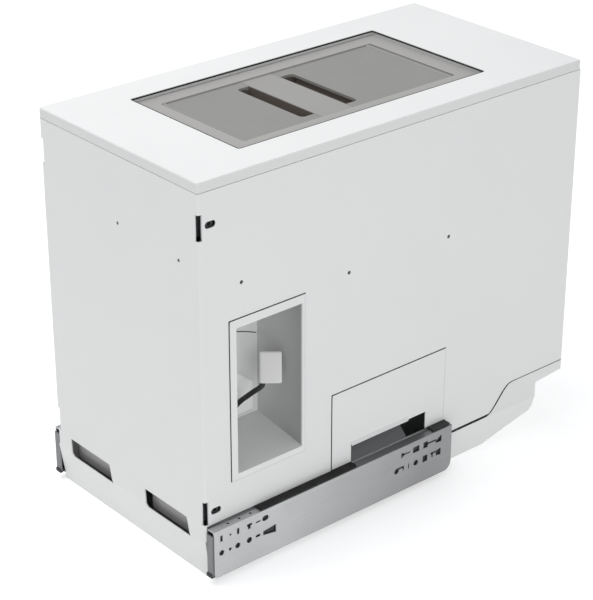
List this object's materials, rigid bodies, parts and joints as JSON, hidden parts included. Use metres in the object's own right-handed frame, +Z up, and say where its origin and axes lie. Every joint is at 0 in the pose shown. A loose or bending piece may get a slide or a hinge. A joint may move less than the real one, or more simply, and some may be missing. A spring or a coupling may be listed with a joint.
{
  "type": "under-counter trash compactor",
  "caption": "White boxy under-counter waste compactor on full-extension runners, with two lift-up flaps in a recessed top, a side connector pocket and a side hatch.",
  "frame": {"origin": "on the floor, under the centre of the overall box", "axes": "+Z up, -Y towards the front, +X towards the side with the pocket and the hatch"},
  "size_m": [0.268, 0.5, 0.42],
  "materials": {
    "panel_white": "fine-textured white powder coat on steel sheet",
    "cap_white": "smooth white powder coat",
    "tray_white": "white powder coat",
    "galvanised": "zinc-plated steel, satin",
    "bright_steel": "ground steel",
    "ledge_grey": "light grey moulded plastic",
    "flap_grey": "mid grey moulded plastic",
    "well_brown": "brown-grey moulded plastic",
    "dark_plastic": "dark grey moulded plastic",
    "black_plastic": "black moulded plastic",
    "white_plastic": "white moulded plastic, semi-gloss",
    "rubber": "black rubber",
    "bronze": "sintered bronze",
    "motor_paint": "dark grey enamel",
    "circuit_green": "green circuit board with parts"
  },
  "bodies": {
    "cabinet_side": {"left_cabinet_member": "galvanised", "right_cabinet_member": "galvanised", "runner_bumpers": "rubber"},
    "compactor": {"drawer_members": "galvanised", "runner_screws": "bright_steel", "base_tray": "tray_white", "outer_casing": "panel_white", "rear_panel": "panel_white", "casing_screws": "bright_steel", "top_cap": "cap_white", "cap_gasket": "rubber", "recess_frame": "ledge_grey", "centre_bridge": "ledge_grey", "finger_wells": "well_brown", "hinge_pins": "bright_steel", "upper_chute": "galvanised", "bin_well": "galvanised", "front_bin": "dark_plastic", "rear_bin": "dark_plastic", "cable_pocket": "panel_white", "mains_connector": "white_plastic", "connector_lead": "rubber", "lead_grommet": "rubber", "hatch_pivot_brackets": "galvanised", "hatch_guard": "dark_plastic", "skirt_seals": "rubber", "corner_posts": "galvanised", "side_plates": "galvanised", "front_clamp_blocks": "black_plastic", "front_adjusting_screws": "motor_paint", "front_bearing_plate": "bright_steel", "rear_bearing_plate": "bright_steel", "screw_bearings": "bright_steel", "guide_rods": "bright_steel", "drive_belt": "rubber", "motor_plate": "galvanised", "gearbox": "bright_steel", "press_motor": "motor_paint", "control_board": "circuit_green", "power_supply": "galvanised", "lever_brackets": "galvanised", "lever_springs": "bright_steel"},
    "runner_middle": {"intermediate_members": "galvanised"},
    "outer_cages": {"outer_ball_cages": "bright_steel"},
    "inner_cages": {"inner_ball_cages": "bright_steel"},
    "front_flap": {"front_flap": "flap_grey"},
    "rear_flap": {"rear_flap": "flap_grey"},
    "side_hatch": {"side_hatch": "panel_white"},
    "left_lever": {"left_release_lever": "flap_grey"},
    "right_lever": {"right_release_lever": "flap_grey"},
    "ram": {"ram_plate": "galvanised", "ram_beam": "bright_steel", "ram_wipers": "rubber", "lead_nuts": "bronze", "guide_bushes": "bronze"},
    "left_screw": {"left_lead_screw": "bright_steel", "left_screw_pulley": "black_plastic"},
    "right_screw": {"right_lead_screw": "bright_steel", "right_screw_pulley": "black_plastic"},
    "motor_shaft": {"motor_pulley": "bright_steel"}
  },
  "joints": [
    {"name": "unit_slide", "type": "slide", "parent": "cabinet_side", "child": "compactor", "axis": [0, -1, 0], "range_m": [0, 0.3]},
    {"name": "runner_middle_slide", "type": "slide", "parent": "cabinet_side", "child": "runner_middle", "axis": [0, -1, 0], "range_m": [0, 0.15]},
    {"name": "outer_cage_slide", "type": "slide", "parent": "cabinet_side", "child": "outer_cages", "axis": [0, -1, 0], "range_m": [0, 0.075]},
    {"name": "inner_cage_slide", "type": "slide", "parent": "cabinet_side", "child": "inner_cages", "axis": [0, -1, 0], "range_m": [0, 0.225]},
    {"name": "front_flap_hinge", "type": "hinge", "parent": "compactor", "child": "front_flap", "pos_m": [0, -0.144, 0.4125], "axis": [1, 0, 0], "range_deg": [0, 85]},
    {"name": "rear_flap_hinge", "type": "hinge", "parent": "compactor", "child": "rear_flap", "pos_m": [0, 0.124, 0.4125], "axis": [-1, 0, 0], "range_deg": [0, 85]},
    {"name": "side_hatch_hinge", "type": "hinge", "parent": "compactor", "child": "side_hatch", "pos_m": [0.1216, -0.01, 0.1456], "axis": [0, -1, 0], "range_deg": [0, 85]},
    {"name": "left_lever_hinge", "type": "hinge", "parent": "compactor", "child": "left_lever", "pos_m": [-0.064, -0.236, 0.064], "axis": [1, 0, 0], "range_deg": [0, 20], "stiffness_Nm_per_rad": 0.3, "springref_deg": -17.19},
    {"name": "right_lever_hinge", "type": "hinge", "parent": "compactor", "child": "right_lever", "pos_m": [0.064, -0.236, 0.064], "axis": [1, 0, 0], "range_deg": [0, 20], "stiffness_Nm_per_rad": 0.3, "springref_deg": -17.19},
    {"name": "left_screw_spin", "type": "hinge", "parent": "compactor", "child": "left_screw", "pos_m": [-0.1, 0, 0.29], "axis": [0, 1, 0], "range_deg": [-2925, 5625]},
    {"name": "right_screw_spin", "type": "hinge", "parent": "compactor", "child": "right_screw", "pos_m": [0.1, 0, 0.29], "axis": [0, 1, 0], "range_deg": [-2926, 5626]},
    {"name": "motor_shaft_spin", "type": "hinge", "parent": "compactor", "child": "motor_shaft", "pos_m": [0, 0.15, 0.225], "axis": [0, 1, 0], "range_deg": [-4097, 7877]},
    {"name": "ram_slide", "type": "slide", "parent": "compactor", "child": "ram", "axis": [0, 1, 0], "range_m": [-0.0651, 0.1251]}
  ],
  "couplings": [
    {"joint": "runner_middle_slide", "follows": "unit_slide", "ratio": 0.5},
    {"joint": "outer_cage_slide", "follows": "unit_slide", "ratio": 0.25},
    {"joint": "inner_cage_slide", "follows": "unit_slide", "ratio": 0.75},
    {"joint": "right_screw_spin", "follows": "left_screw_spin", "ratio": 1},
    {"joint": "motor_shaft_spin", "follows": "left_screw_spin", "ratio": 1.4},
    {"joint": "ram_slide", "follows": "left_screw_spin", "m_per_rad": 0.0012732}
  ]
}
